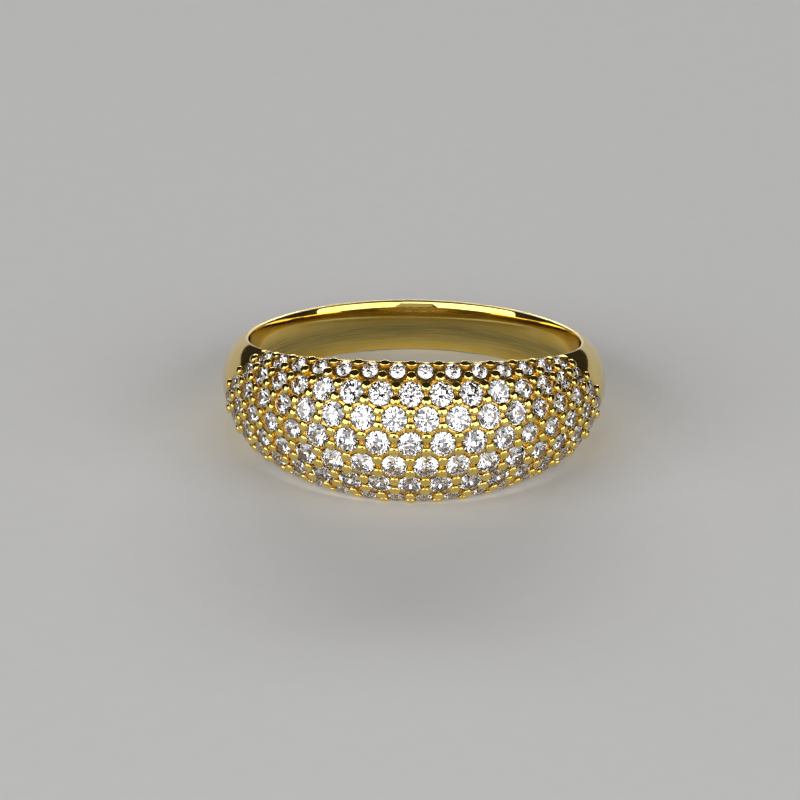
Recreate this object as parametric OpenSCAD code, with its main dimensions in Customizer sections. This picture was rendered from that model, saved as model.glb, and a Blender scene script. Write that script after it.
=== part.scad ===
// Dome ring: a pave set dome on a tapered band, lying on its side.
// Lengths are in millimetres. The ring rests on z = 0 with the dome towards -Y.

/* [Finger hole] */
// Diameter of the finger hole
bore_d = 17.3; // [14:0.1:22]

/* [Band] */
// Width of the band at the middle of the dome
dome_width = 7.7; // [6:0.1:10]
// Width of the band halfway round, at the shoulders
shoulder_width = 4.36; // [3:0.02:6]
// Width of the band at the back
back_width = 2.88; // [2:0.02:5]
// Thickness of the metal at the middle of the dome
dome_thick = 2.1; // [1.6:0.05:3]
// Thickness of the metal halfway round
shoulder_thick = 1.4; // [1:0.05:2.2]
// Thickness of the metal at the back
back_thick = 1.35; // [1:0.05:2.2]
// Rounding along both rims of the finger hole
rim_round = 0.1; // [0.05:0.01:0.3]

/* [Stones] */
// Diameter of the stones over the middle of the dome
stone_d = 1.3; // [0.9:0.01:1.4]
// Diameter of the stones at both ends of the field
end_stone_d = 1.02; // [0.8:0.01:1.1]
// Diameter of the stones in the two rim rows
rim_stone_d = 0.86; // [0.7:0.01:1]
// Distance along the dome between large stones
stone_bridge = 0.38; // [0.36:0.01:0.6]
// Distance along the dome between end stones
end_bridge = 0.53; // [0.36:0.01:0.7]
// Distance between the rim rows and the rim
rim_gap = 0.67; // [0.6:0.01:1]
// Height of a crown, as a share of the stone
crown_share = 0.16; // [0.1:0.01:0.2]
// Depth of a pavilion, as a share of the stone
pavilion_share = 0.42; // [0.3:0.01:0.45]
// Height of a girdle, as a share of the stone
girdle_share = 0.03; // [0.02:0.01:0.06]
// Diameter of a table, as a share of the stone
table_share = 0.56; // [0.45:0.01:0.65]

/* [Setting] */
// Diameter of the beads that hold the stones
bead_d = 0.5; // [0.3:0.01:0.6]
// Diameter of the beads along both rims
rim_bead_d = 0.4; // [0.3:0.01:0.5]
// Height of a bead's centre above the metal
bead_rise = 0.02; // [0:0.01:0.1]
// Depth of a rim bead's centre below the metal
rim_bead_sink = 0.05; // [0:0.01:0.1]
// Depth of a girdle below the metal
girdle_depth = 0.05; // [0:0.01:0.15]
// Diameter of the hole behind each stone, as a share of the stone
hole_share = 0.42; // [0.3:0.01:0.5]
// Clearance between a stone and the metal
stone_gap = 0.03; // [0.02:0.005:0.08]

/* [Hidden] */

bore_r = bore_d / 2;

// Rows run from rim to rim and are counted from the middle row.
rim_row = 3;
centre_half_count = 8;
// Columns on each side of the middle that carry large stones.
large_columns = 3.5;

// Half width and thickness follow the front, shoulder and back sizes smoothly.
function blend(f, s, b, a) =
    let (m = (f + b) / 2) (m + s) / 2 + (f - b) / 2 * cos(a) + (m - s) / 2 * cos(2 * a);
function half_width(a) = blend(dome_width, shoulder_width, back_width, a) / 2;
function thick(a) = blend(dome_thick, shoulder_thick, back_thick, a);

// A section is a circular arc at the front and turns into half an ellipse at the back.
function ellipse_share(a) = (1 - cos(a)) / 2;
function arc_r(a) = (pow(half_width(a), 2) + pow(thick(a), 2)) / (2 * thick(a));
function arc_end(a) = atan2(half_width(a), arc_r(a) - thick(a));
// u runs from -1 at the lower rim to 1 at the upper rim; the result is [radius, height].
function section(a, u) =
    let (e = ellipse_share(a), t = thick(a), h = half_width(a), r = arc_r(a), p = u * arc_end(a))
    [bore_r + (1 - e) * (t - r + r * cos(p)) + e * t * cos(90 * u),
     (1 - e) * r * sin(p) + e * h * sin(90 * u)];
function around(a, rw) = [rw[0] * sin(a), -rw[0] * cos(a), rw[1]];
function skin(a, u) = around(a, section(a, u));
function unit(v) = v / norm(v);
function normal(a, u) =
    unit(cross(skin(a + 0.5, u) - skin(a - 0.5, u), skin(a, u + 0.01) - skin(a, u - 0.01)));

// The skin ends in a small rounding at each rim, then closes inside the finger hole.
inner_r = bore_r - 0.6;
skin_steps = 72;
arc_steps = 12;
rim_u = 1 - rim_round / (arc_r(0) * arc_end(0) * PI / 180);
function rim_points(a, s) =
    let (h = half_width(a), c = rim_round, q = section(a, s * rim_u))
    [q, [bore_r + c * 0.3, s * (h - c * 0.25)], [bore_r - c * 0.3, s * (h - c * 1.1)],
     [inner_r, s * (h - c * 1.1)]];
function outline(a) = concat(
    [for (i = [3:-1:0]) rim_points(a, -1)[i]],
    [for (i = [1:arc_steps - 1]) section(a, rim_u * (2 * i / arc_steps - 1))],
    [for (i = [0:3]) rim_points(a, 1)[i]]);
outline_count = arc_steps + 7;

// Column angles: large stones near the middle, smaller ones past them.
front_r = bore_r + dome_thick;
end_r = bore_r + thick(50);
large_step = (stone_d + stone_bridge) / front_r * 180 / PI;
end_step = (end_stone_d + end_bridge) / end_r * 180 / PI;
large_span = large_columns - 0.5;
function column_angle(n) =
    sign(n) * (min(abs(n), large_span) * large_step + max(abs(n) - large_span, 0) * end_step);
function arc_length(a) = arc_r(a) * arc_end(a) * PI / 180;
function row_u(k, n) = k / rim_row * (1 - rim_gap / arc_length(column_angle(n)));
function columns(k) = centre_half_count - abs(k) / 2;
function exists(k, n) = abs(k) <= rim_row && abs(n) <= columns(k);
function stone_size(k, n) = abs(k) == rim_row ? rim_stone_d
    : abs(n) <= large_columns ? stone_d : end_stone_d;
STONES = [for (k = [-rim_row:rim_row], n = [-columns(k):columns(k)]) [k, n]];
function stone_at(k, n) = skin(column_angle(n), row_u(k, n));
function stone_normal(k, n) = normal(column_angle(n), row_u(k, n));

// Distance from the skin, along its normal, to a little inside the finger hole.
function reach(p, n) =
    let (q = [p[0], p[1]], m = [n[0], n[1]], r = bore_r - 0.45, b = q * m, c = m * m)
    (b - sqrt(b * b - c * (q * q - r * r))) / c;

// A bead stands above and below each neck between two stones of a row.
function bead_share(k, side) = abs(k + side) > rim_row ? 0.32 : 0.29;
function bead_u(k, m, side) = row_u(k + side * bead_share(k, side), m);
function bead_corners(k, m, side) =
    [for (c = [[k, m - 0.5], [k, m + 0.5], [k + side, m]]) if (exists(c[0], c[1])) c];
function bead_room(k, m, side) =
    let (p = skin(column_angle(m), bead_u(k, m, side)))
    min([for (c = bead_corners(k, m, side))
        norm(p - stone_at(c[0], c[1])) - stone_size(c[0], c[1]) / 2 - 2 * stone_gap]);
function bead_r(k, m, side) =
    min((abs(k + side) > rim_row ? rim_bead_d : bead_d) / 2, bead_room(k, m, side));
function bead_at(k, m, side) =
    let (a = column_angle(m), u = bead_u(k, m, side))
    skin(a, u) + normal(a, u) * (abs(k + side) > rim_row ? -rim_bead_sink : bead_rise);
BEADS = [for (k = [-rim_row:rim_row], m = [-columns(k) - 0.5:columns(k) + 0.5], side = [-1, 1])
    if (len(bead_corners(k, m, side)) >= 2) [k, m, side]];

// The ring leans back until the dome and the back of the band touch the surface, and its
// middle is the middle of its whole length, beads included.
rim_touch = bore_r + rim_round * 0.3;
lean = atan2(half_width(0) - half_width(180), 2 * rim_touch);
function leant(p) = [p[0], p[1] * cos(lean) + p[2] * sin(lean), p[2] * cos(lean) - p[1] * sin(lean)];
rim_lows = [for (a = [0, 180], i = [0:1]) leant(around(a, rim_points(a, -1)[i]))[2]];
rest_z = min(concat(rim_lows,
    [for (b = BEADS) leant(bead_at(b[0], b[1], b[2]))[2] - bead_r(b[0], b[1], b[2])]));
front_y = min([for (b = BEADS) leant(bead_at(b[0], b[1], b[2]))[1] - bead_r(b[0], b[1], b[2])]);
back_y = max([for (u = [-0.5:0.05:0.5]) leant(skin(180, u))[1]]);

module lying() {
    translate([0, -(front_y + back_y) / 2, -rest_z]) rotate([-lean, 0, 0]) children();
}

// Stands its children on the skin with +Z along the outward normal.
module on_skin(p, n) {
    translate(p) rotate([0, acos(n[2]), atan2(n[1], n[0])]) children();
}

module skin_body() {
    points = [for (i = [0:skin_steps - 1]) let (a = i * 360 / skin_steps)
        for (q = outline(a)) around(a, q)];
    c = outline_count;
    faces = [for (i = [0:skin_steps - 1], j = [0:c - 1])
        let (i2 = (i + 1) % skin_steps, j2 = (j + 1) % c,
             p = i * c + j, q = i * c + j2, r = i2 * c + j2, s = i2 * c + j)
        each [[p, q, r], [p, r, s]]];
    polyhedron(points, faces);
}

// One turned cutter: pocket for the girdle, cone for the pavilion, hole into the finger hole.
module seat(d, reach) {
    pocket_r = d / 2 + stone_gap;
    hole_r = d * hole_share / 2;
    floor_z = -girdle_depth - d * girdle_share - stone_gap;
    cone_z = floor_z - d * pavilion_share * (1 - hole_share);
    rotate_extrude() polygon([[0, -reach], [hole_r, -reach], [hole_r, cone_z],
        [pocket_r, floor_z], [pocket_r, bead_d], [0, bead_d]]);
}

module band() {
    color([0.86, 0.68, 0.32]) lying() difference() {
        union() {
            skin_body();
            for (b = BEADS)
                translate(bead_at(b[0], b[1], b[2])) sphere(r = bead_r(b[0], b[1], b[2]));
        }
        cylinder(h = 2 * dome_width, r = bore_r, center = true, $fn = 240);
        for (s = STONES)
            let (p = stone_at(s[0], s[1]), n = stone_normal(s[0], s[1]))
            on_skin(p, n) seat(stone_size(s[0], s[1]), reach(p, n));
    }
}

// A brilliant: octagonal table, sixteen sided girdle and pointed pavilion.
module stone(d) {
    girdle_h = d * girdle_share;
    top = d * crown_share;
    table_r = d * table_share / 2;
    points = concat(
        [for (i = [0:7]) [table_r * cos(45 * i), table_r * sin(45 * i), top]],
        [for (i = [0:15]) [d / 2 * cos(22.5 * i), d / 2 * sin(22.5 * i), 0]],
        [for (i = [0:15]) [d / 2 * cos(22.5 * i), d / 2 * sin(22.5 * i), -girdle_h]],
        [[0, 0, -girdle_h - d * pavilion_share]]);
    faces = concat(
        [[for (i = [7:-1:0]) i]],
        [for (i = [0:7]) each [
            [i, (i + 1) % 8, 9 + 2 * i],
            [i, 9 + 2 * i, 8 + 2 * i],
            [(i + 1) % 8, 8 + (2 * i + 2) % 16, 9 + 2 * i]]],
        [for (i = [0:15]) each [
            [8 + i, 8 + (i + 1) % 16, 24 + i],
            [24 + i, 8 + (i + 1) % 16, 24 + (i + 1) % 16],
            [24 + i, 24 + (i + 1) % 16, 40]]]);
    polyhedron(points, faces);
}

module pave_stones() {
    color([0.92, 0.93, 0.96]) lying()
        for (s = STONES) on_skin(stone_at(s[0], s[1]), stone_normal(s[0], s[1]))
            translate([0, 0, -girdle_depth]) stone(stone_size(s[0], s[1]));
}

band();
pave_stones();
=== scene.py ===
"""Dome ring: a pave set head on a tapered band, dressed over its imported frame."""

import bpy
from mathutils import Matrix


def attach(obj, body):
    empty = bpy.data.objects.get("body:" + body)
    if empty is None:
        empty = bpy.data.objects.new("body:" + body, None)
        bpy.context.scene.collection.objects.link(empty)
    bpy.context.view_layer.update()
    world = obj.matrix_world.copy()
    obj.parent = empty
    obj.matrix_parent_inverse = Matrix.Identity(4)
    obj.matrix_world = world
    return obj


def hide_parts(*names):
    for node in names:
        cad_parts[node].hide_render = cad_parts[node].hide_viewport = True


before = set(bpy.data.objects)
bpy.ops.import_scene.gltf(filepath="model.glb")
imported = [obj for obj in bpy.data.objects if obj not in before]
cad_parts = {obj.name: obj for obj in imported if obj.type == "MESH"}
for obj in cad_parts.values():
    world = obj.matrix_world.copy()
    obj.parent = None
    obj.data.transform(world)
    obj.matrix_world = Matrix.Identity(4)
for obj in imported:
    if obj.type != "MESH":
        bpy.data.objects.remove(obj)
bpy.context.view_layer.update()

import logging
import math
from dataclasses import dataclass
from enum import Enum

import bmesh
import bpy
from mathutils import Matrix, Vector

MM = 0.001
Colour = tuple[float, float, float]
log = logging.getLogger("dome_ring")


class Slot(Enum):
    """The record's material slot names, gold and stone; the pieces here don't use them."""

    GOLD = "gold"
    STONE = "stone"


class StoneSize(Enum):
    """The three stone sizes of the field, with their diameters in millimetres."""

    CENTRE = 1.3
    END = 1.02
    RIM = 0.86


@dataclass(frozen=True)
class SeatPlace:
    """One stone's place: its row and column, where it sits and which way it faces."""

    row: int
    column: float
    point: Vector
    normal: Vector
    size: StoneSize

    @property
    def matrix(self) -> Matrix:
        """The turn and move that stand a stone or cutter made on +Z in this place."""
        return stand_on(self.point, self.normal)


@dataclass(frozen=True)
class BeadPlace:
    """One bead's centre, radius and outward direction, and what it stands beside."""

    centre: Vector
    radius: float
    normal: Vector
    along: Vector
    beside: StoneSize
    at_rim: bool

    @property
    def matrix(self) -> Matrix:
        """The turn and move that stand a button here, its X along the band.

        Returns:
            A 4 x 4 matrix without scale.
        """
        across = self.normal.cross(self.along).normalized()
        turn = Matrix((across.cross(self.normal), across, self.normal)).transposed()
        return Matrix.Translation(self.centre) @ turn.to_4x4()


def stand_on(point: Vector, normal: Vector) -> Matrix:
    """Give the transform that stands a shape made on +Z at a point of a surface.

    Args:
        point: Where the shape's origin goes.
        normal: The surface's outward direction there.

    Returns:
        A 4 x 4 matrix without scale.
    """
    turn = Vector((0, 0, 1)).rotation_difference(normal).to_matrix().to_4x4()
    return Matrix.Translation(point) @ turn


def blend(front: float, shoulder: float, back: float, angle: float) -> float:
    """Follow a front, a shoulder and a back size smoothly round the ring.

    Args:
        front: The size at the middle of the dome.
        shoulder: The size a quarter of the way round.
        back: The size at the back.
        angle: The place round the ring in degrees, 0 at the middle of the dome.

    Returns:
        The size at that place.
    """
    middle = (front + back) / 2
    turn = math.radians(angle)
    return ((middle + shoulder) / 2 + (front - back) / 2 * math.cos(turn)
            + (middle - shoulder) / 2 * math.cos(2 * turn))


def ease(share: float) -> float:
    """Go smoothly from 0 to 1 as the share does, and stay at the ends beyond them."""
    held = max(0.0, min(1.0, share))
    return held * held * (3 - 2 * held)


@dataclass(frozen=True)
class RingForm:
    """The ring's sizes in millimetres and the places that follow from them."""

    bore_d: float = 17.3
    dome_width: float = 7.7
    shoulder_width: float = 4.36
    back_width: float = 2.88
    dome_thick: float = 2.1
    shoulder_thick: float = 1.4
    back_thick: float = 1.35
    rim_round: float = 0.1
    rim_gap: float = 0.67
    stone_bridge: float = 0.38
    end_bridge: float = 0.53
    bead_d: float = 0.5
    rim_bead_d: float = 0.4
    bead_rise: float = 0.02
    rim_bead_sink: float = 0.05
    girdle_depth: float = 0.05
    stone_gap: float = 0.03
    comfort_flare: float = 0.165
    comfort_height: float = 1.2
    comfort_curve: float = 3.0
    front_land: float = 0.1
    back_land: float = 0.14
    land_slope: float = 0.35
    cut_down: float = 0.06
    cut_margin: float = 0.34
    land_margin: float = 0.01
    field_end: float = 50.0
    land_fade: float = 40.0
    bead_share: float = 0.29
    rim_bead_share: float = 0.32
    resting_share: float = 0.978
    rim_row: int = 3
    centre_half_count: int = 8
    large_columns: float = 3.5

    @property
    def bore_r(self) -> float:
        """Radius of the finger hole."""
        return self.bore_d / 2

    def half_width(self, angle: float) -> float:
        """Half the band's width at an angle in degrees."""
        return blend(self.dome_width, self.shoulder_width, self.back_width, angle) / 2

    def thick(self, angle: float) -> float:
        """The metal's thickness at an angle in degrees."""
        return blend(self.dome_thick, self.shoulder_thick, self.back_thick, angle)

    def arc_r(self, angle: float) -> float:
        """Radius of the arc through both rims and the crest."""
        half, thick = self.half_width(angle), self.thick(angle)
        return (half * half + thick * thick) / (2 * thick)

    def arc_end(self, angle: float) -> float:
        """Half the angle, in radians, that the section's arc spans."""
        return math.atan2(self.half_width(angle), self.arc_r(angle) - self.thick(angle))

    def arc_length(self, angle: float) -> float:
        """Length of the arc from the crest to a rim."""
        return self.arc_r(angle) * self.arc_end(angle)

    def section(self, angle: float, share: float) -> tuple[float, float]:
        """Give a point of the outer skin in its own section.

        Args:
            angle: The place round the ring in degrees.
            share: -1 at the lower rim, 0 on the crest and 1 at the upper rim.

        Returns:
            Distance from the ring's axis, and height along it.
        """
        oval = (1 - math.cos(math.radians(angle))) / 2
        thick, half, radius = self.thick(angle), self.half_width(angle), self.arc_r(angle)
        turn = share * self.arc_end(angle)
        quarter = share * math.pi / 2
        out = ((1 - oval) * (thick - radius + radius * math.cos(turn))
               + oval * thick * math.cos(quarter))
        up = (1 - oval) * radius * math.sin(turn) + oval * half * math.sin(quarter)
        return self.bore_r + out, up

    def around(self, angle: float, radius: float, up: float) -> Vector:
        """Turn a point of a section to its place round the ring's axis."""
        turn = math.radians(angle)
        return Vector((radius * math.sin(turn), -radius * math.cos(turn), up))

    def skin(self, angle: float, share: float) -> Vector:
        """A point of the outer skin, before the ring is laid down."""
        return self.around(angle, *self.section(angle, share))

    def cut_share(self, angle: float, share: float) -> float:
        """Say how far the metal is cut down between the beads at a point.

        Args:
            angle: The place round the ring in degrees.
            share: The place across the section, from -1 to 1.

        Returns:
            0 where the skin is left as it is, and 1 where the full cut is taken.
        """
        column = self.column_at(angle)
        ends = (self.centre_half_count - self.rim_row * abs(share) / 2 + 0.5 - abs(column)) / 0.5
        rims = (1 - abs(share)) * self.arc_length(angle) / self.cut_margin
        return ease(min(ends, rims))

    def cut_skin(self, angle: float, share: float) -> Vector:
        """A point of the skin as it is after the field has been cut down."""
        depth = self.cut_down * self.cut_share(angle, share)
        return self.skin(angle, share) - self.normal(angle, share) * depth

    def normal(self, angle: float, share: float) -> Vector:
        """Give the skin's outward direction at a point.

        Args:
            angle: The place round the ring in degrees.
            share: The place across the section, from -1 to 1.

        Returns:
            A direction of length 1.
        """
        along = self.skin(angle + 0.5, share) - self.skin(angle - 0.5, share)
        across = self.skin(angle, share + 0.01) - self.skin(angle, share - 0.01)
        return along.cross(across).normalized()

    def column_angle(self, column: float) -> float:
        """Give the angle of a column of stones.

        Args:
            column: The column, counted from the middle.

        Returns:
            Its place round the ring in degrees.
        """
        large = (StoneSize.CENTRE.value + self.stone_bridge) / (self.bore_r + self.dome_thick)
        end_r = self.bore_r + self.thick(self.field_end)
        end = (StoneSize.END.value + self.end_bridge) / end_r
        span = self.large_columns - 0.5
        turn = min(abs(column), span) * large + max(abs(column) - span, 0) * end
        return math.copysign(math.degrees(turn), column)

    def column_at(self, angle: float) -> float:
        """Give the column at an angle: the reverse of column_angle.

        Args:
            angle: The place round the ring in degrees.

        Returns:
            The column, whole or not, counted from the middle to either side.
        """
        span = self.large_columns - 0.5
        inner = self.column_angle(span)
        outer = self.column_angle(span + 1) - inner
        turn = abs((angle + 180) % 360 - 180)
        return turn / inner * span if turn < inner else span + (turn - inner) / outer

    def row_share(self, row: float, column: float) -> float:
        """A row's place across the section, with the rim rows a set distance from the rim."""
        return row / self.rim_row * (1 - self.rim_gap / self.arc_length(self.column_angle(column)))

    def columns(self, row: int) -> float:
        """How many columns a row reaches on each side of the middle."""
        return self.centre_half_count - abs(row) / 2

    def exists(self, row: int, column: float) -> bool:
        """Whether the field has a stone in that row and column."""
        return abs(row) <= self.rim_row and abs(column) <= self.columns(row)

    def stone_size(self, row: int, column: float) -> StoneSize:
        """Give the size of a stone.

        Args:
            row: Its row, counted from the middle.
            column: Its column, counted from the middle.

        Returns:
            One of the field's three sizes.
        """
        if abs(row) == self.rim_row:
            return StoneSize.RIM
        return StoneSize.CENTRE if abs(column) <= self.large_columns else StoneSize.END

    def seat(self, row: int, column: float) -> SeatPlace:
        """Give the place of a stone.

        Args:
            row: Its row, counted from the middle.
            column: Its column, counted from the middle.

        Returns:
            Where it sits, which way it faces and its size.
        """
        angle, share = self.column_angle(column), self.row_share(row, column)
        return SeatPlace(row, column, self.skin(angle, share), self.normal(angle, share),
                         self.stone_size(row, column))

    def seats(self) -> list[SeatPlace]:
        """Give every stone's place.

        Returns:
            The places, row by row.
        """
        return [self.seat(row, i - self.columns(row))
                for row in range(-self.rim_row, self.rim_row + 1)
                for i in range(int(2 * self.columns(row)) + 1)]

    def beads(self) -> list[BeadPlace]:
        """Place a bead above and below each neck between two stones of a row.

        Returns:
            The beads that hold two stones or more.
        """
        places = []
        for row in range(-self.rim_row, self.rim_row + 1):
            for i in range(int(2 * self.columns(row)) + 2):
                column = i - self.columns(row) - 0.5
                for side in (-1, 1):
                    corners = [(row, column - 0.5), (row, column + 0.5), (row + side, column)]
                    held = [self.seat(*c) for c in corners if self.exists(*c)]
                    if len(held) >= 2:
                        places.append(self.bead(row, column, side, held))
        return places

    def bead(self, row: int, column: float, side: int, held: list[SeatPlace]) -> BeadPlace:
        """Place one bead between the stones that it holds.

        Args:
            row: The row whose neck the bead stands at.
            column: The neck's place along that row.
            side: 1 for the bead above the neck, -1 for the one below.
            held: The stones round the bead.

        Returns:
            The bead's centre and radius, clear of those stones.
        """
        at_rim = abs(row + side) > self.rim_row
        step = self.rim_bead_share if at_rim else self.bead_share
        share = self.row_share(row + side * step, column)
        angle = self.column_angle(column)
        foot = self.skin(angle, share)
        room = min((foot - s.point).length - s.size.value / 2 for s in held) - 2 * self.stone_gap
        radius = min((self.rim_bead_d if at_rim else self.bead_d) / 2, room)
        rise = -self.rim_bead_sink if at_rim else self.bead_rise
        normal = self.normal(angle, share)
        beside = max((s.size for s in held), key=lambda size: size.value)
        along = self.skin(angle + 0.5, share) - foot
        return BeadPlace(foot + normal * rise, radius, normal, along, beside, at_rim)

    def flare(self, angle: float) -> float:
        """How far the finger hole opens to its rims: most at the back, not at the dome."""
        return self.comfort_flare * (1 - math.cos(math.radians(angle))) / 2

    def opening(self, angle: float, climb: float) -> float:
        """How far the hole has opened at a climb from 0, on the wall, to 1, at the rim."""
        return self.flare(angle) * max(0.0, min(1.0, climb)) ** self.comfort_curve

    def rim_land(self, angle: float) -> float:
        """Width of the burnished land along the rims, wider past the ends of the field."""
        past_field = ease((abs(angle) - self.field_end) / self.land_fade)
        return self.front_land + (self.back_land - self.front_land) * past_field

    def inner_edge(self, angle: float, end: float) -> float:
        """Height of the hole's edge, where the land has sloped down from the outer skin."""
        return self.section(angle, end)[1] - self.rim_land(angle) * self.land_slope

    def on_land(self, place: Vector, end: float) -> bool:
        """Say whether a point of the metal lies on the land along a rim.

        Args:
            place: The point, before the ring is laid down.
            end: The share at which the outer skin ends there.

        Returns:
            True on the land, its small margin included.
        """
        angle = math.degrees(math.atan2(place.x, -place.y))
        out = math.hypot(place.x, place.y) - self.bore_r - self.flare(angle)
        return (-self.land_margin < out < self.rim_land(angle) + self.land_margin
                and abs(place.z) > self.inner_edge(angle, end) - self.land_margin)

    def inner_point(self, angle: float, end: float, level: float) -> Vector:
        """Give a point of the finger hole's wall and its comfort rounding.

        Args:
            angle: The place round the ring in degrees.
            end: The share at which the outer skin ends there.
            level: 0 at the middle, 0.5 where the comfort rounding starts and 1 at the rim.

        Returns:
            The point, before the ring is laid down.
        """
        start = self.inner_edge(angle, end) - self.comfort_height
        climb = max(0.0, 2 * abs(level) - 1)
        up = min(1.0, 2 * abs(level)) * start + climb * self.comfort_height
        return self.around(angle, self.bore_r + self.opening(angle, climb),
                           math.copysign(up, level))

    def climb(self, place: Vector, end: float) -> float:
        """How far up or down the comfort rounding a point is: 0 at its start, 1 at the rim."""
        angle = math.degrees(math.atan2(place.x, -place.y))
        return 1 - (self.inner_edge(angle, end) - abs(place.z)) / self.comfort_height

    def off_inner_wall(self, place: Vector, end: float) -> float:
        """Measure how far a point of the metal lies outside the finger hole's wall.

        Args:
            place: The point, before the ring is laid down.
            end: The share at which the outer skin ends there.

        Returns:
            The distance in millimetres, with the comfort rounding taken into account.
        """
        angle = math.degrees(math.atan2(place.x, -place.y))
        opening = self.opening(angle, self.climb(place, end))
        return math.hypot(place.x, place.y) - self.bore_r - opening

    def rim_share(self, angle: float) -> float:
        """Find the share at which the outer skin ends and the land along the rim starts.

        Args:
            angle: The place round the ring in degrees.

        Returns:
            A share from 0.5 to 1.
        """
        wanted = self.bore_r + self.flare(angle) + self.rim_land(angle)
        low, high = 0.5, 1.0
        for _ in range(24):
            middle = (low + high) / 2
            low, high = ((middle, high) if self.section(angle, middle)[0] > wanted
                         else (low, middle))
        return low

    def depth_below_skin(self, place: Vector) -> float:
        """Measure how far a point of the metal lies under the outer skin.

        Args:
            place: The point, before the ring is laid down.

        Returns:
            The distance in millimetres, away from the ring's axis.
        """
        angle = math.degrees(math.atan2(place.x, -place.y))
        half = self.half_width(angle)
        share = max(-1.0, min(1.0, place.z / half))
        for _ in range(3):
            share = max(-1.0, min(1.0, share + (place.z - self.section(angle, share)[1]) / half))
        return self.section(angle, share)[0] - math.hypot(place.x, place.y)

    def lying(self) -> Matrix:
        """Lay the ring on the floor, and change millimetres to metres.

        Returns:
            The turn, move and scale that do so.
        """
        touch = self.bore_r + self.rim_round * 0.3
        lean = math.atan2(self.half_width(0) - self.half_width(180), 2 * touch)
        turn = Matrix.Rotation(-lean, 4, "X")
        ends = [turn @ self.skin(angle, share * self.resting_share)
                for angle in (0, 180) for share in (-1, 0)]
        low = min([p.z for p in ends] + [(turn @ b.centre).z - b.radius for b in self.beads()])
        front = min((turn @ b.centre).y - b.radius for b in self.beads())
        back = max((turn @ self.skin(180, share / 20)).y for share in range(-10, 11))
        return Matrix.Scale(MM, 4) @ Matrix.Translation((0, -(front + back) / 2, -low)) @ turn


def new_material(name: str) -> tuple[bpy.types.Material, bpy.types.NodeTree, bpy.types.Node]:
    """Start a node material.

    Args:
        name: The material's name.

    Returns:
        The material, its node tree and its Principled shader.
    """
    material = bpy.data.materials.new(name)
    material.use_nodes = True
    return material, material.node_tree, material.node_tree.nodes["Principled BSDF"]


def noise(tree: bpy.types.NodeTree, vector: bpy.types.NodeSocket, scale: float,
          detail: float, stretch: tuple[float, float, float] = (1, 1, 1)) -> bpy.types.NodeSocket:
    """Add a noise pattern.

    Args:
        tree: The material's node tree.
        vector: The coordinates that the pattern lies on.
        scale: Grains per millimetre.
        detail: How many finer layers the pattern has.
        stretch: How much quicker the pattern changes along each axis.

    Returns:
        The pattern's value, round 0.5.
    """
    spread = tree.nodes.new("ShaderNodeMapping")
    spread.inputs["Scale"].default_value = stretch
    grain = tree.nodes.new("ShaderNodeTexNoise")
    grain.inputs["Scale"].default_value = scale
    grain.inputs["Detail"].default_value = detail
    tree.links.new(vector, spread.inputs["Vector"])
    tree.links.new(spread.outputs["Vector"], grain.inputs["Vector"])
    return grain.outputs["Fac"]


def spread_value(tree: bpy.types.NodeTree, value: bpy.types.NodeSocket,
                 source: tuple[float, float], target: tuple[float, float]) -> bpy.types.NodeSocket:
    """Map a value from one range to another.

    Args:
        tree: The material's node tree.
        value: The value to map.
        source: The range it comes in.
        target: The range it goes out in.

    Returns:
        The mapped value.
    """
    node = tree.nodes.new("ShaderNodeMapRange")
    node.inputs["From Min"].default_value, node.inputs["From Max"].default_value = source
    node.inputs["To Min"].default_value, node.inputs["To Max"].default_value = target
    tree.links.new(value, node.inputs["Value"])
    return node.outputs["Result"]


def mix_values(tree: bpy.types.NodeTree, share: bpy.types.NodeSocket,
               first: bpy.types.NodeSocket, second: bpy.types.NodeSocket) -> bpy.types.NodeSocket:
    """Mix two values.

    Args:
        tree: The material's node tree.
        share: How much of the second value shows, from 0 to 1.
        first: The first value.
        second: The second value.

    Returns:
        The mixed value.
    """
    node = tree.nodes.new("ShaderNodeMix")
    tree.links.new(share, node.inputs[0])
    tree.links.new(first, node.inputs[2])
    tree.links.new(second, node.inputs[3])
    return node.outputs[0]


def mix_colours(tree: bpy.types.NodeTree, share: bpy.types.NodeSocket,
                first: "Colour | bpy.types.NodeSocket",
                second: "Colour | bpy.types.NodeSocket") -> bpy.types.NodeSocket:
    """Mix two colours, given as numbers or as sockets, by a share from 0 to 1.

    Args:
        tree: The material's node tree.
        share: How much of the second colour shows.
        first: The first colour.
        second: The second colour.

    Returns:
        The mixed colour.
    """
    node = tree.nodes.new("ShaderNodeMix")
    node.data_type = "RGBA"
    tree.links.new(share, node.inputs[0])
    for colour, socket in ((first, node.inputs[6]), (second, node.inputs[7])):
        if isinstance(colour, tuple):
            socket.default_value = (*colour, 1.0)
        else:
            tree.links.new(colour, socket)
    return node.outputs[2]


def bump(tree: bpy.types.NodeTree, height: bpy.types.NodeSocket, strength: float,
         depth: float, under: bpy.types.NodeSocket | None = None) -> bpy.types.NodeSocket:
    """Turn a height pattern into surface relief.

    Args:
        tree: The material's node tree.
        height: The pattern.
        strength: How much of the relief shows.
        depth: The relief's depth in millimetres.
        under: A coarser relief that this one lies on.

    Returns:
        The bumped normal.
    """
    node = tree.nodes.new("ShaderNodeBump")
    node.inputs["Strength"].default_value = strength
    node.inputs["Distance"].default_value = depth * MM
    tree.links.new(height, node.inputs["Height"])
    if under is not None:
        tree.links.new(under, node.inputs["Normal"])
    return node.outputs["Normal"]


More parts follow.
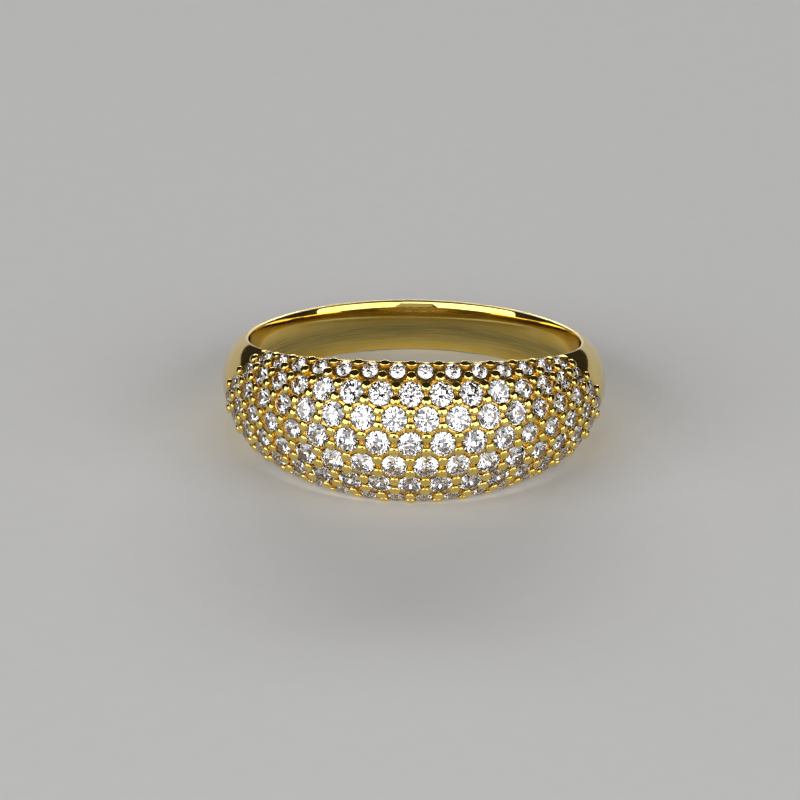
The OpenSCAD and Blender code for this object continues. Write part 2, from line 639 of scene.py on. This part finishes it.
def ring_coordinates(tree: bpy.types.NodeTree, form: RingForm) -> bpy.types.NodeSocket:
    """Give object coordinates in millimetres with the ring's axis upright.

    Args:
        tree: The material's node tree.
        form: The ring's sizes, which say how it lies.

    Returns:
        The coordinates.
    """
    lying = form.lying()
    place = tree.nodes.new("ShaderNodeTexCoord")
    upright = tree.nodes.new("ShaderNodeMapping")
    upright.vector_type = "TEXTURE"
    upright.inputs["Location"].default_value = lying.translation
    upright.inputs["Rotation"].default_value = lying.to_euler()
    upright.inputs["Scale"].default_value = (MM, MM, MM)
    tree.links.new(place.outputs["Object"], upright.inputs["Vector"])
    return upright.outputs["Vector"]


@dataclass(frozen=True)
class GoldFinish:
    """Yellow gold: polished outside, brushed along the finger hole, with a warmer painted shade in
    the crevices, a darker painted shade on the finger hole's wall and a paler painted highlight on
    the rims.
    """

    colour: Colour = (0.88, 0.64, 0.15)
    pale_colour: Colour = (0.93, 0.71, 0.23)
    # Painted shade: the deeper orange laid on the metal in the crevices between the stones.
    painted_crevice_shade_colour: Colour = (0.70, 0.41, 0.07)
    # Painted shade: the finger hole's wall is coloured far darker than the gold outside, streaked
    # along the brushing.
    painted_wall_shade_colour: Colour = (0.42, 0.34, 0.12)
    painted_wall_shade_streak_colour: Colour = (0.72, 0.57, 0.19)
    # Painted highlight: the land along the rims is coloured paler than the gold, for a bright line
    # round the hole's edges; its burnished finish is roughness.
    painted_rim_highlight_colour: Colour = (0.97, 0.80, 0.40)
    polish: tuple[float, float] = (0.03, 0.09)
    brushed: tuple[float, float] = (0.05, 0.16)
    cast: tuple[float, float] = (0.28, 0.42)
    burnish: tuple[float, float] = (0.34, 0.46)
    relief_strength: float = 0.5
    relief_depth: float = 0.012
    cut_strength: float = 0.7
    cut_depth: float = 0.03

    def material(self, form: RingForm) -> bpy.types.Material:
        """Build the gold.

        Args:
            form: The ring's sizes, which the patterns are laid out from.

        Returns:
            The material.
        """
        material, tree, shader = new_material("polished_gold")
        link = tree.links.new
        shader.inputs["Metallic"].default_value = 1.0
        place = ring_coordinates(tree, form)
        wall = mesh_value(tree, "wall")
        crevice_shade_and_cast = mesh_value(tree, "crevice_shade_and_cast")
        land = mesh_value(tree, "land")

        cloud = noise(tree, place, 0.55, 3.0)
        tone = mix_colours(tree, spread_value(tree, cloud, (0.35, 0.65), (0.0, 1.0)),
                           self.colour, self.pale_colour)
        wear = noise(tree, place, 2.2, 5.0)
        lines = noise(tree, place, 1.0, 6.0, (0.35, 0.35, 22.0))
        # Painted shade: a deeper orange where the metal lies below the skin, in the crevices.
        outer = mix_colours(tree, crevice_shade_and_cast, tone, self.painted_crevice_shade_colour)
        # Painted shade on the finger hole's wall, in brushed streaks.
        inner = mix_colours(tree, spread_value(tree, lines, (0.38, 0.62), (0.0, 1.0)),
                            self.painted_wall_shade_colour, self.painted_wall_shade_streak_colour)
        faces = mix_colours(tree, wall, outer, inner)
        # Painted highlight: paler colour on the land along the rims.
        link(mix_colours(tree, land, faces, self.painted_rim_highlight_colour), shader.inputs["Base Color"])
        polished = spread_value(tree, wear, (0.3, 0.7), self.polish)
        brushed = spread_value(tree, lines, (0.3, 0.7), self.brushed)
        cast = spread_value(tree, wear, (0.3, 0.7), self.cast)
        rough = mix_values(tree, crevice_shade_and_cast, polished, cast)
        faces_rough = mix_values(tree, wall, rough, brushed)
        burnished = spread_value(tree, wear, (0.3, 0.7), self.burnish)
        link(mix_values(tree, land, faces_rough, burnished), shader.inputs["Roughness"])

        hairlines = noise(tree, place, 3.0, 4.0, (1.0, 6.0, 2.0))
        faint = spread_value(tree, hairlines, (0.0, 1.0), (0.47, 0.53))
        relief = bump(tree, mix_values(tree, wall, faint, lines), self.relief_strength,
                      self.relief_depth)
        cuts = noise(tree, place, 6.0, 1.0)
        level = spread_value(tree, cuts, (0.0, 1.0), (0.5, 0.5))
        handwork = mix_values(tree, crevice_shade_and_cast, level, spread_value(tree, cuts, (0.3, 0.7), (0.0, 1.0)))
        link(bump(tree, handwork, self.cut_strength, self.cut_depth, relief),
             shader.inputs["Normal"])
        return material


@dataclass(frozen=True)
class StoneFinish:
    """Clear, strongly refracting cut stones, each a touch cooler or warmer than the next."""

    clear_colour: Colour = (0.985, 0.985, 1.0)
    cool_colour: Colour = (0.90, 0.90, 0.97)
    refraction: float = 2.15

    def material(self, form: RingForm) -> bpy.types.Material:
        """Build the stones' material.

        Args:
            form: The ring's sizes, which the patterns are laid out from.

        Returns:
            The material.
        """
        material, tree, shader = new_material("clear_stones")
        link = tree.links.new
        shader.inputs["Transmission Weight"].default_value = 1.0
        shader.inputs["IOR"].default_value = self.refraction
        place = ring_coordinates(tree, form)
        tone = mesh_value(tree, "tone")
        haze = spread_value(tree, noise(tree, place, 1.4, 2.0), (0.3, 0.7), (0.0, 0.5))
        mixed = tree.nodes.new("ShaderNodeMath")
        mixed.operation = "MULTIPLY_ADD"
        mixed.use_clamp = True
        mixed.inputs[1].default_value = 0.5
        link(tone, mixed.inputs[0])
        link(haze, mixed.inputs[2])
        link(mix_colours(tree, mixed.outputs[0], self.clear_colour, self.cool_colour),
             shader.inputs["Base Color"])
        rub = noise(tree, place, 4.0, 3.0)
        link(spread_value(tree, rub, (0.3, 0.8), (0.0, 0.035)), shader.inputs["Roughness"])
        return material


def mesh_value(tree: bpy.types.NodeTree, name: str) -> bpy.types.NodeSocket:
    """Read one of the mesh's own values that its class has stored.

    Args:
        tree: The material's node tree.
        name: The name that the value is stored under.

    Returns:
        The value, from 0 to 1.
    """
    node = tree.nodes.new("ShaderNodeAttribute")
    node.attribute_name = name
    return node.outputs["Fac"]


def store_value(mesh: bpy.types.Mesh, name: str, values: list[float]) -> None:
    """Store a value for each vertex under a name that a material reads."""
    mesh.attributes.new(name, "FLOAT", "POINT").data.foreach_set("value", values)


def to_mesh(bm: bmesh.types.BMesh, name: str) -> bpy.types.Mesh:
    """Write a bmesh to a new mesh and free it.

    Args:
        bm: The bmesh.
        name: The new mesh's name.

    Returns:
        The new mesh.
    """
    mesh = bpy.data.meshes.new(name)
    bm.to_mesh(mesh)
    bm.free()
    return mesh


def show(mesh: bpy.types.Mesh, name: str) -> bpy.types.Object:
    """Put a mesh in the scene as an object at the origin.

    Args:
        mesh: The mesh.
        name: The object's name.

    Returns:
        The object.
    """
    piece = bpy.data.objects.new(name, mesh)
    bpy.context.scene.collection.objects.link(piece)
    return piece


def turned_shape(bm: bmesh.types.BMesh, outline: list[tuple[float, float]], steps: int) -> None:
    """Spin an open outline about Z into a closed round shape.

    Args:
        bm: Where the shape is made.
        outline: Pairs of radius and height, from one end of the axis to the other.
        steps: How many faces go round.
    """
    verts = [bm.verts.new((radius, 0.0, height)) for radius, height in outline]
    edges = [bm.edges.new(pair) for pair in zip(verts, verts[1:])]
    bmesh.ops.spin(bm, geom=verts + edges, cent=(0, 0, 0), axis=(0, 0, 1), dvec=(0, 0, 0),
                   angle=2 * math.pi, steps=steps, use_merge=True, use_duplicate=False)
    bmesh.ops.remove_doubles(bm, verts=bm.verts, dist=1e-5)
    bmesh.ops.dissolve_degenerate(bm, dist=1e-6, edges=bm.edges)


@dataclass
class Band:
    """The gold band: a spun shell shaped round the ring, pierced for the stones and beaded."""

    form: RingForm
    gold: bpy.types.Material
    round_steps: int = 240
    outer_steps: int = 44
    inner_steps: int = 44
    brush_end: float = 0.3
    seat_steps: int = 24
    seat_top: float = 0.6
    seat_reach: float = 0.9
    ledge: float = 0.01
    chamfer: float = 0.1
    rim_soft: float = 0.045
    button_d: float = 0.58
    end_button_d: float = 0.54
    rim_button_d: float = 0.53
    button_cap: float = 0.165
    button_curve: float = 2.5
    button_rise: float = 0.035
    rim_button_rise: float = 0.0
    edge_button_cap: float = 0.14
    edge_button_curve: float = 4.0
    edge_button_d: float = 0.6
    edge_button_depth: float = 0.66
    button_steps: int = 14
    button_curve_at: tuple[float, ...] = (0.0, 0.36, 0.65, 0.86, 0.97, 1.0)
    shank_share: float = 0.8
    shank_depth: float = 0.14
    shank_foot: float = 0.18
    hole_share: float = 0.42
    girdle_share: float = 0.03
    pavilion_share: float = 0.42
    merge_distance: float = 2e-4
    sliver_length: float = 1e-4
    wall_margin: float = 0.03
    crevice_shade_and_cast_depth: float = 0.09
    sharp_angle: float = 34.0

    def build(self) -> bpy.types.Object:
        """Make the band.

        Returns:
            The finished piece.
        """
        body = show(self.shell(), "gold_band")
        cutters = show(self.seats(), "seat_cutters")
        beads = show(self.beads(), "bead_buttons")
        body.data = self.carved(body, [("DIFFERENCE", cutters), ("UNION", beads)])
        for tool in (cutters, beads):
            bpy.data.objects.remove(tool)
        self.finish(body)
        return body

    def shell(self) -> bpy.types.Mesh:
        """Spin the section once round the axis, then shape every turn of it.

        Returns:
            The band without seats and beads, before it is laid down.
        """
        bm = bmesh.new()
        share = bm.verts.layers.float.new("share")
        inner = bm.verts.layers.float.new("inner")
        chain = []
        for i in range(self.outer_steps + 1):
            chain.append((2 * i / self.outer_steps - 1, 0.0))
        for i in range(self.inner_steps + 1):
            chain.append((1 - 2 * i / self.inner_steps, 1.0))
        verts = []
        for level, side in chain:
            vert = bm.verts.new((10.0 - side, 0.0, level))
            vert[share], vert[inner] = level, side
            verts.append(vert)
        edges = [bm.edges.new(pair) for pair in zip(verts, verts[1:] + verts[:1])]
        bmesh.ops.spin(bm, geom=verts + edges, cent=(0, 0, 0), axis=(0, 0, 1), dvec=(0, 0, 0),
                       angle=2 * math.pi, steps=self.round_steps, use_merge=True,
                       use_duplicate=False)
        ends: dict[int, float] = {}
        for vert in bm.verts:
            angle = math.degrees(math.atan2(vert.co.x, -vert.co.y))
            step = round(angle * self.round_steps / 360)
            end = ends[step] = ends.get(step) or self.form.rim_share(angle)
            level = vert[share]
            if vert[inner] > 0.5:
                vert.co = self.form.inner_point(angle, end, level)
            else:
                vert.co = self.form.cut_skin(angle, level * end)
        bmesh.ops.recalc_face_normals(bm, faces=bm.faces)
        rims = [edge for edge in bm.edges
                if all(abs(vert[share]) > 0.999 for vert in edge.verts)
                and edge.verts[0][inner] == edge.verts[1][inner]]
        bmesh.ops.bevel(bm, geom=rims, offset=self.rim_soft, offset_type="OFFSET", segments=3,
                        profile=0.5, affect="EDGES", material=-1)
        return to_mesh(bm, "gold_band")

    def seats(self) -> bpy.types.Mesh:
        """Make a cutter for each stone: a pocket, a pavilion cone and a hole behind it.

        Returns:
            All the cutters in one mesh.
        """
        bm = bmesh.new()
        for place in self.form.seats():
            size = place.size.value
            pocket, hole = size / 2 + self.form.stone_gap, size * self.hole_share / 2
            floor = -self.form.girdle_depth - size * self.girdle_share - self.form.stone_gap
            cone = floor - size * self.pavilion_share * (1 - self.hole_share)
            reach = self.form.thick(0) + self.seat_reach
            cutter = bmesh.new()
            ledge, level = floor + self.ledge, -self.form.cut_down
            outer = pocket + 2 * self.chamfer
            turned_shape(cutter, [(0.0, -reach), (hole, -reach), (hole, cone), (pocket, floor),
                                  (pocket, ledge), (outer, 2 * level - ledge),
                                  (outer, self.seat_top), (0.0, self.seat_top)],
                         self.seat_steps)
            self.place_copy(bm, cutter, place.matrix)
        bmesh.ops.recalc_face_normals(bm, faces=bm.faces)
        return to_mesh(bm, "seat_cutters")

    def beads(self) -> bpy.types.Mesh:
        """Make a rounded button on a short shank for each bead.

        Returns:
            All the buttons in one mesh.
        """
        sizes = {StoneSize.CENTRE: self.button_d, StoneSize.END: self.end_button_d,
                 StoneSize.RIM: self.rim_button_d}
        bm = bmesh.new()
        for place in self.form.beads():
            wide = (self.edge_button_d if place.at_rim else sizes[place.beside]) / 2
            button = bmesh.new()
            rise = self.rim_button_rise if place.beside is StoneSize.RIM else self.button_rise
            top = self.edge_button_cap if place.at_rim else self.button_cap
            curve = self.edge_button_curve if place.at_rim else self.button_curve
            cap = [(wide * out, rise + top * (1 - out ** curve) ** (1 / curve))
                   for out in self.button_curve_at]
            shank = [(wide * self.shank_share, -self.shank_depth), (0.0, -self.shank_foot)]
            turned_shape(button, cap + shank, self.button_steps)
            deep = self.edge_button_depth if place.at_rim else 1.0
            self.place_copy(bm, button, place.matrix @ Matrix.Diagonal((1, deep, 1, 1)))
        bmesh.ops.recalc_face_normals(bm, faces=bm.faces)
        return to_mesh(bm, "bead_buttons")

    def place_copy(self, bm: bmesh.types.BMesh, part: bmesh.types.BMesh, matrix: Matrix) -> None:
        """Move a small bmesh to its place, add it to a larger one and free it.

        Args:
            bm: The larger bmesh.
            part: The small one.
            matrix: The small one's place.
        """
        part.transform(matrix)
        mesh = to_mesh(part, "part")
        bm.from_mesh(mesh)
        bpy.data.meshes.remove(mesh)

    def carved(self, body: bpy.types.Object,
               steps: list[tuple[str, bpy.types.Object]]) -> bpy.types.Mesh:
        """Cut and join other shapes with the body.

        Args:
            body: The object that is worked on.
            steps: The kind of each step, with the object that it uses.

        Returns:
            The resulting mesh.
        """
        for kind, tool in steps:
            modifier = body.modifiers.new(kind.lower(), "BOOLEAN")
            modifier.operation, modifier.object, modifier.solver = kind, tool, "MANIFOLD"
        bpy.context.view_layer.update()
        evaluated = body.evaluated_get(bpy.context.evaluated_depsgraph_get())
        mesh = bpy.data.meshes.new_from_object(evaluated)
        body.modifiers.clear()
        return mesh

    def clean(self, mesh: bpy.types.Mesh) -> None:
        """Merge the slivers that the cuts leave, and close the mesh where one collapsed.

        Args:
            mesh: The carved mesh, cleaned in place.
        """
        bm = bmesh.new()
        bm.from_mesh(mesh)
        bmesh.ops.remove_doubles(bm, verts=bm.verts, dist=self.merge_distance)
        bmesh.ops.dissolve_degenerate(bm, dist=self.sliver_length, edges=bm.edges)
        bmesh.ops.delete(bm, geom=[edge for edge in bm.edges if edge.is_wire], context="EDGES")
        bmesh.ops.holes_fill(bm, edges=[edge for edge in bm.edges if edge.is_boundary], sides=0)
        bmesh.ops.recalc_face_normals(bm, faces=bm.faces)
        bm.to_mesh(mesh)
        bm.free()

    def finish(self, body: bpy.types.Object) -> None:
        """Clean the mesh, store what the gold reads from it, lay it down and dress it.

        Args:
            body: The carved band.
        """
        mesh, form = body.data, self.form
        self.clean(mesh)
        walls, crevice_shade_and_cast_values, lands = [], [], []
        ends = [form.rim_share(angle) for angle in range(181)]
        for vert in mesh.vertices:
            x, y = vert.co.x, vert.co.y
            angle = abs(math.degrees(math.atan2(x, -y)))
            end = ends[round(angle)]
            # The wall value sets the brushed finish and the painted wall shade.
            inside = form.off_inner_wall(vert.co, end) < self.wall_margin
            # The land value sets the burnished finish and the painted rim highlight.
            lands.append(1.0 if form.on_land(vert.co, end) else 0.0)
            start = self.brush_end if vert.co.z > 0 else 0.0
            fade = ease((form.climb(vert.co, end) + start) / (2 * start or 1.0))
            walls.append(1 - fade if inside else 0.0)
            # Depth below the skin: it lays the painted crevice shade and the rougher cast finish.
            crevice_shade_and_cast_values.append(0.0 if inside or lands[-1] else
                         max(0.0, min(1.0, form.depth_below_skin(vert.co) / self.crevice_shade_and_cast_depth)))
        store_value(mesh, "wall", walls)
        store_value(mesh, "crevice_shade_and_cast", crevice_shade_and_cast_values)
        store_value(mesh, "land", lands)
        mesh.transform(form.lying())
        for vert in mesh.vertices:
            vert.co.z = max(vert.co.z, 0.0)
        mesh.shade_smooth()
        mesh.set_sharp_from_angle(angle=math.radians(self.sharp_angle))
        mesh.materials.clear()
        mesh.materials.append(self.gold)
        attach(body, "root")
        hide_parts("band")


@dataclass
class PaveStones:
    """The field of cut stones, each with its table, crown, girdle and pavilion facets."""

    form: RingForm
    finish: bpy.types.Material
    crown: float = 0.16
    pavilion: float = 0.42
    girdle: float = 0.03
    table: float = 0.56
    star_drop: float = 0.5
    lower_reach: float = 0.76
    turn_step: float = 2.399963
    tone_step: float = 0.618034

    def build(self) -> bpy.types.Object:
        """Make all the stones.

        Returns:
            The finished piece.
        """
        cut = self.brilliant()
        bm, tones = bmesh.new(), []
        for i, place in enumerate(self.form.seats()):
            size = place.size.value
            matrix = (place.matrix @ Matrix.Translation((0, 0, -self.form.girdle_depth))
                      @ Matrix.Rotation(i * self.turn_step, 4, "Z") @ Matrix.Scale(size, 4))
            before = len(bm.verts)
            bm.from_mesh(cut)
            bm.verts.ensure_lookup_table()
            fresh = bm.verts[before:]
            bmesh.ops.transform(bm, matrix=matrix, verts=fresh)
            tones += [(i * self.tone_step) % 1.0] * len(fresh)
        bpy.data.meshes.remove(cut)
        mesh = to_mesh(bm, "pave_cut_stones")
        store_value(mesh, "tone", tones)
        mesh.transform(self.form.lying())
        mesh.materials.append(self.finish)
        piece = show(mesh, "pave_cut_stones")
        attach(piece, "root")
        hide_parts("pave_stones")
        return piece

    def brilliant(self) -> bpy.types.Mesh:
        """Cut one stone of diameter 1, its girdle's upper edge at height 0.

        Returns:
            The stone's mesh.
        """
        bm = bmesh.new()
        top, low = self.crown, -self.girdle - self.pavilion
        bmesh.ops.create_cone(bm, cap_ends=True, cap_tris=False, segments=16, radius1=0.5,
                              radius2=0.5, depth=top - low,
                              matrix=Matrix.Translation((0, 0, (top + low) / 2)))
        lean = (0.5 - self.table / 2) / self.crown
        half_turn = math.cos(math.pi / 8)
        star_z = self.crown * (1 - self.star_drop)
        star_r = (0.5 - star_z * lean) / half_turn
        waist = self.round_point(0.5, -self.girdle, 0)
        culet = Vector((0, 0, low))
        keel_r = 0.5 * (1 - self.lower_reach) / half_turn
        keel = self.round_point(keel_r, -self.girdle - self.pavilion * self.lower_reach, 1)
        table_edge = [self.round_point(self.table / 2, top, k) for k in (0, 2)]
        star = self.round_point(star_r, star_z, 1)
        girdle = [self.round_point(0.5, 0.0, k) for k in (0, 1)]
        for i in range(8):
            turn = Matrix.Rotation(i * math.pi / 4, 3, "Z")
            flip = Matrix.Rotation(i * math.pi / 4, 3, "Z") @ Matrix.Diagonal((1, -1, 1))
            self.cut(bm, turn, (girdle[0], self.round_point(star_r, star_z, 1),
                                self.round_point(star_r, star_z, -1)))
            self.cut(bm, turn, (table_edge[0], table_edge[1], star))
            self.cut(bm, turn, (girdle[0], girdle[1], star))
            self.cut(bm, flip, (girdle[0], girdle[1], star))
            self.cut(bm, turn, (waist, keel, culet))
            self.cut(bm, turn, (waist, self.round_point(0.5, -self.girdle, 1), keel))
            self.cut(bm, flip, (waist, self.round_point(0.5, -self.girdle, 1), keel))
        bmesh.ops.remove_doubles(bm, verts=bm.verts, dist=1e-5)
        bmesh.ops.recalc_face_normals(bm, faces=bm.faces)
        return to_mesh(bm, "brilliant")

    def round_point(self, radius: float, height: float, sixteenth: int) -> Vector:
        """A point at a radius, a height and a number of sixteenths of a turn."""
        turn = sixteenth * math.pi / 8
        return Vector((radius * math.cos(turn), radius * math.sin(turn), height))

    def cut(self, bm: bmesh.types.BMesh, turn: Matrix,
            points: tuple[Vector, Vector, Vector]) -> None:
        """Take off what lies outside the plane through three points, and close the cut.

        Args:
            bm: The stone.
            turn: Turns the points to their facet.
            points: Three points of the facet.
        """
        a, b, c = [turn @ p for p in points]
        normal = (b - a).cross(c - a).normalized()
        if normal.dot(a - Vector((0, 0, -self.girdle))) < 0:
            normal = -normal
        result = bmesh.ops.bisect_plane(bm, geom=bm.verts[:] + bm.edges[:] + bm.faces[:],
                                        dist=1e-5, plane_co=a, plane_no=normal, clear_outer=True)
        edges = [e for e in result["geom_cut"] if isinstance(e, bmesh.types.BMEdge)]
        bmesh.ops.holes_fill(bm, edges=[e for e in edges if e.is_boundary], sides=0)


@dataclass
class Studio:
    """The pale floor, the soft lights and the camera."""

    form: RingForm
    floor_colour: Colour = (0.78, 0.78, 0.78)
    floor_half: float = 1.5
    room_colour: Colour = (0.80, 0.68, 0.56)
    room_strength: float = 0.035
    lens: float = 256.5
    distance: float = 300.0
    elevation: float = 26.8
    azimuth: float = 1.1
    roll: float = 0.44
    aim_left: float = 0.742
    aim_below: float = 1.21

    def build(self) -> None:
        """Set the floor, the lights, the camera and a plain colour response."""
        bpy.context.scene.view_settings.view_transform = "Standard"
        self.floor()
        self.lights()
        self.camera()

    def floor(self) -> None:
        """A wide pale floor with the faintest grain."""
        bm = bmesh.new()
        bmesh.ops.create_grid(bm, x_segments=1, y_segments=1, size=self.floor_half)
        floor = show(to_mesh(bm, "studio_floor"), "studio_floor")
        material, tree, shader = new_material("pale_floor")
        place = tree.nodes.new("ShaderNodeTexCoord")
        grain = noise(tree, place.outputs["Object"], 900.0, 3.0)
        darker = tuple(c * 0.96 for c in self.floor_colour)
        tree.links.new(mix_colours(tree, grain, self.floor_colour, darker),
                       shader.inputs["Base Color"])
        shader.inputs["Roughness"].default_value = 0.75
        floor.data.materials.append(material)

    def lights(self) -> None:
        """A dim room with large soft lights over the front, behind and to both sides."""
        world = bpy.data.worlds.new("studio_room")
        world.use_nodes = True
        room = world.node_tree.nodes["Background"]
        room.inputs["Color"].default_value = (*self.room_colour, 1.0)
        room.inputs["Strength"].default_value = self.room_strength
        bpy.context.scene.world = world
        self.soft_light("left_soft_light", (-313, -302, 203), (540, 340), 1.45)
        self.soft_light("right_soft_light", (313, -302, 203), (540, 340), 1.22)
        self.soft_light("high_soft_light", (0, -378, 290), (150, 126), 0.14)
        self.soft_light("back_soft_light", (0, 420, 190), (520, 80), 0.8)
        self.soft_light("camera_fill_light", (8, -420, 212), (200, 260), 0.06)

    def soft_light(self, name: str, place: tuple[float, float, float],
                   size: tuple[float, float], power: float) -> None:
        """Hang one rectangular soft light that faces the ring.

        Args:
            name: The light's name.
            place: Where it hangs, in millimetres.
            size: Its width and height in millimetres.
            power: Its power in watts.
        """
        light = bpy.data.lights.new(name, "AREA")
        light.shape, light.energy = "RECTANGLE", power
        light.size, light.size_y = size[0] * MM, size[1] * MM
        lamp = bpy.data.objects.new(name, light)
        lamp.location = Vector(place) * MM
        lamp.rotation_euler = (-Vector(place)).to_track_quat("-Z", "Y").to_euler()
        bpy.context.scene.collection.objects.link(lamp)

    def camera(self) -> None:
        """Stand the camera at the photograph's viewing angle."""
        az, el = math.radians(self.azimuth), math.radians(self.elevation)
        away = Vector((math.sin(az) * math.cos(el), -math.cos(az) * math.cos(el), math.sin(el)))
        right = Vector((math.cos(az), math.sin(az), 0.0))
        up = away.cross(right)
        centre = self.form.lying().translation
        aim = centre - (right * self.aim_left + up * self.aim_below) * MM
        stand = Matrix((right, up, away)).transposed().to_4x4()
        stand = Matrix.Translation(aim + away * self.distance * MM) @ stand
        data = bpy.data.cameras.new("photo_camera")
        data.lens, data.sensor_width = self.lens, 36.0
        data.clip_start, data.clip_end = 0.01, 10.0
        camera = bpy.data.objects.new("photo_camera", data)
        camera.matrix_world = stand @ Matrix.Rotation(math.radians(self.roll), 4, "Z")
        bpy.context.scene.collection.objects.link(camera)
        bpy.context.scene.camera = camera


def main() -> None:
    """Build the ring piece by piece, then its studio."""
    logging.basicConfig(level=logging.INFO, format="%(message)s")
    form = RingForm()
    pieces = [
        Band(form, GoldFinish().material(form)).build(),
        PaveStones(form, StoneFinish().material(form)).build(),
    ]
    for piece in pieces:
        log.info("%s: %d faces", piece.name, len(piece.data.polygons))
    Studio(form).build()
    bpy.context.view_layer.update()


if __name__ == "__main__":
    main()
